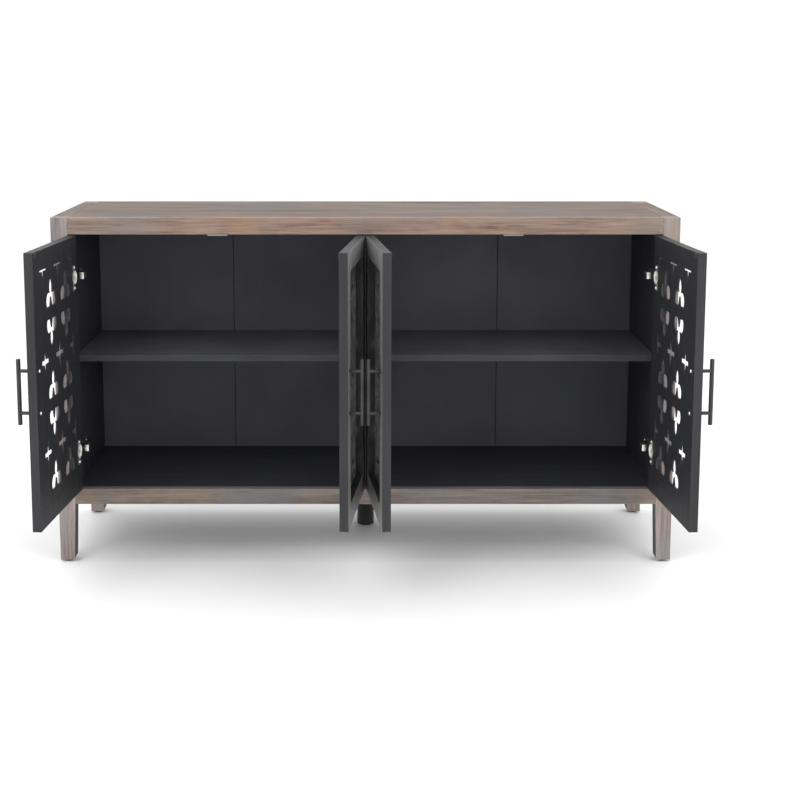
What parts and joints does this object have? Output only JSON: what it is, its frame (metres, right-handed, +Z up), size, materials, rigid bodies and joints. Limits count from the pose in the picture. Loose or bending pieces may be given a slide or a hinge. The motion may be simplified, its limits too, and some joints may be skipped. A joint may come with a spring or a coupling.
{
  "type": "sideboard buffet",
  "caption": "Long storage cabinet on square legs, with a shelf in each bay, inset fretwork doors and vertical bar handles.",
  "frame": {"origin": "middle of the centre foot's underside, on the floor", "axes": "+Z up, +X to the right as seen from the front, the doors face -Y"},
  "size_m": [1.5546, 0.8169, 0.864],
  "materials": {
    "weathered_wood": "matt weathered grain",
    "charcoal_board": "matt charcoal stain",
    "door_board": "matt paint, charcoal inside and pale outside",
    "nickel": "nickel plate",
    "black_metal": "satin black",
    "black_rubber": "matt",
    "catch_housing": "matt moulded"
  },
  "bodies": {
    "cabinet": {"front_left_post": "weathered_wood", "front_right_post": "weathered_wood", "rear_left_post": "weathered_wood", "rear_right_post": "weathered_wood", "top_panel": "weathered_wood", "top_front_rail": "weathered_wood", "top_rear_rail": "weathered_wood", "top_left_rail": "weathered_wood", "top_right_rail": "weathered_wood", "bottom_front_rail": "weathered_wood", "bottom_rear_rail": "weathered_wood", "bottom_left_rail": "weathered_wood", "bottom_right_rail": "weathered_wood", "left_side_panel": "charcoal_board", "right_side_panel": "charcoal_board", "bottom_panel": "charcoal_board", "centre_partition": "charcoal_board", "left_shelf": "charcoal_board", "right_shelf": "charcoal_board", "shelf_pins": "nickel", "back_panel_left": "charcoal_board", "back_panel_centre": "charcoal_board", "back_panel_right": "charcoal_board", "back_battens": "charcoal_board", "back_screws": "nickel", "left_catch": "catch_housing", "right_catch": "catch_housing", "hinge_arms": "nickel", "hinge_plates": "nickel", "foot_pads": "black_rubber", "centre_foot": "black_metal"},
    "left_outer_door": {"left_outer_stiles": "door_board", "left_outer_rails": "door_board", "left_outer_fret": "door_board", "left_outer_handle": "black_metal", "left_outer_handle_screws": "nickel", "left_outer_hinge_cups": "nickel", "left_outer_strike": "nickel"},
    "left_inner_door": {"left_inner_stiles": "door_board", "left_inner_rails": "door_board", "left_inner_fret": "door_board", "left_inner_handle": "black_metal", "left_inner_handle_screws": "nickel", "left_inner_hinge_cups": "nickel", "left_inner_strike": "nickel"},
    "right_inner_door": {"right_inner_stiles": "door_board", "right_inner_rails": "door_board", "right_inner_fret": "door_board", "right_inner_handle": "black_metal", "right_inner_handle_screws": "nickel", "right_inner_hinge_cups": "nickel", "right_inner_strike": "nickel"},
    "right_outer_door": {"right_outer_stiles": "door_board", "right_outer_rails": "door_board", "right_outer_fret": "door_board", "right_outer_handle": "black_metal", "right_outer_handle_screws": "nickel", "right_outer_hinge_cups": "nickel", "right_outer_strike": "nickel"}
  },
  "joints": [
    {"name": "left_outer_door_hinge", "type": "hinge", "parent": "cabinet", "child": "left_outer_door", "pos_m": [-0.72, -0.327, 0.5055], "axis": [0, 0, 1], "range_deg": [-10.8, 94.2]},
    {"name": "left_inner_door_hinge", "type": "hinge", "parent": "cabinet", "child": "left_inner_door", "pos_m": [-0.001, -0.327, 0.5055], "axis": [0, 0, -1], "range_deg": [0, 84.1]},
    {"name": "right_inner_door_hinge", "type": "hinge", "parent": "cabinet", "child": "right_inner_door", "pos_m": [0.001, -0.327, 0.5055], "axis": [0, 0, 1], "range_deg": [0, 84.1]},
    {"name": "right_outer_door_hinge", "type": "hinge", "parent": "cabinet", "child": "right_outer_door", "pos_m": [0.72, -0.327, 0.5055], "axis": [0, 0, -1], "range_deg": [-10.8, 94.2]}
  ]
}
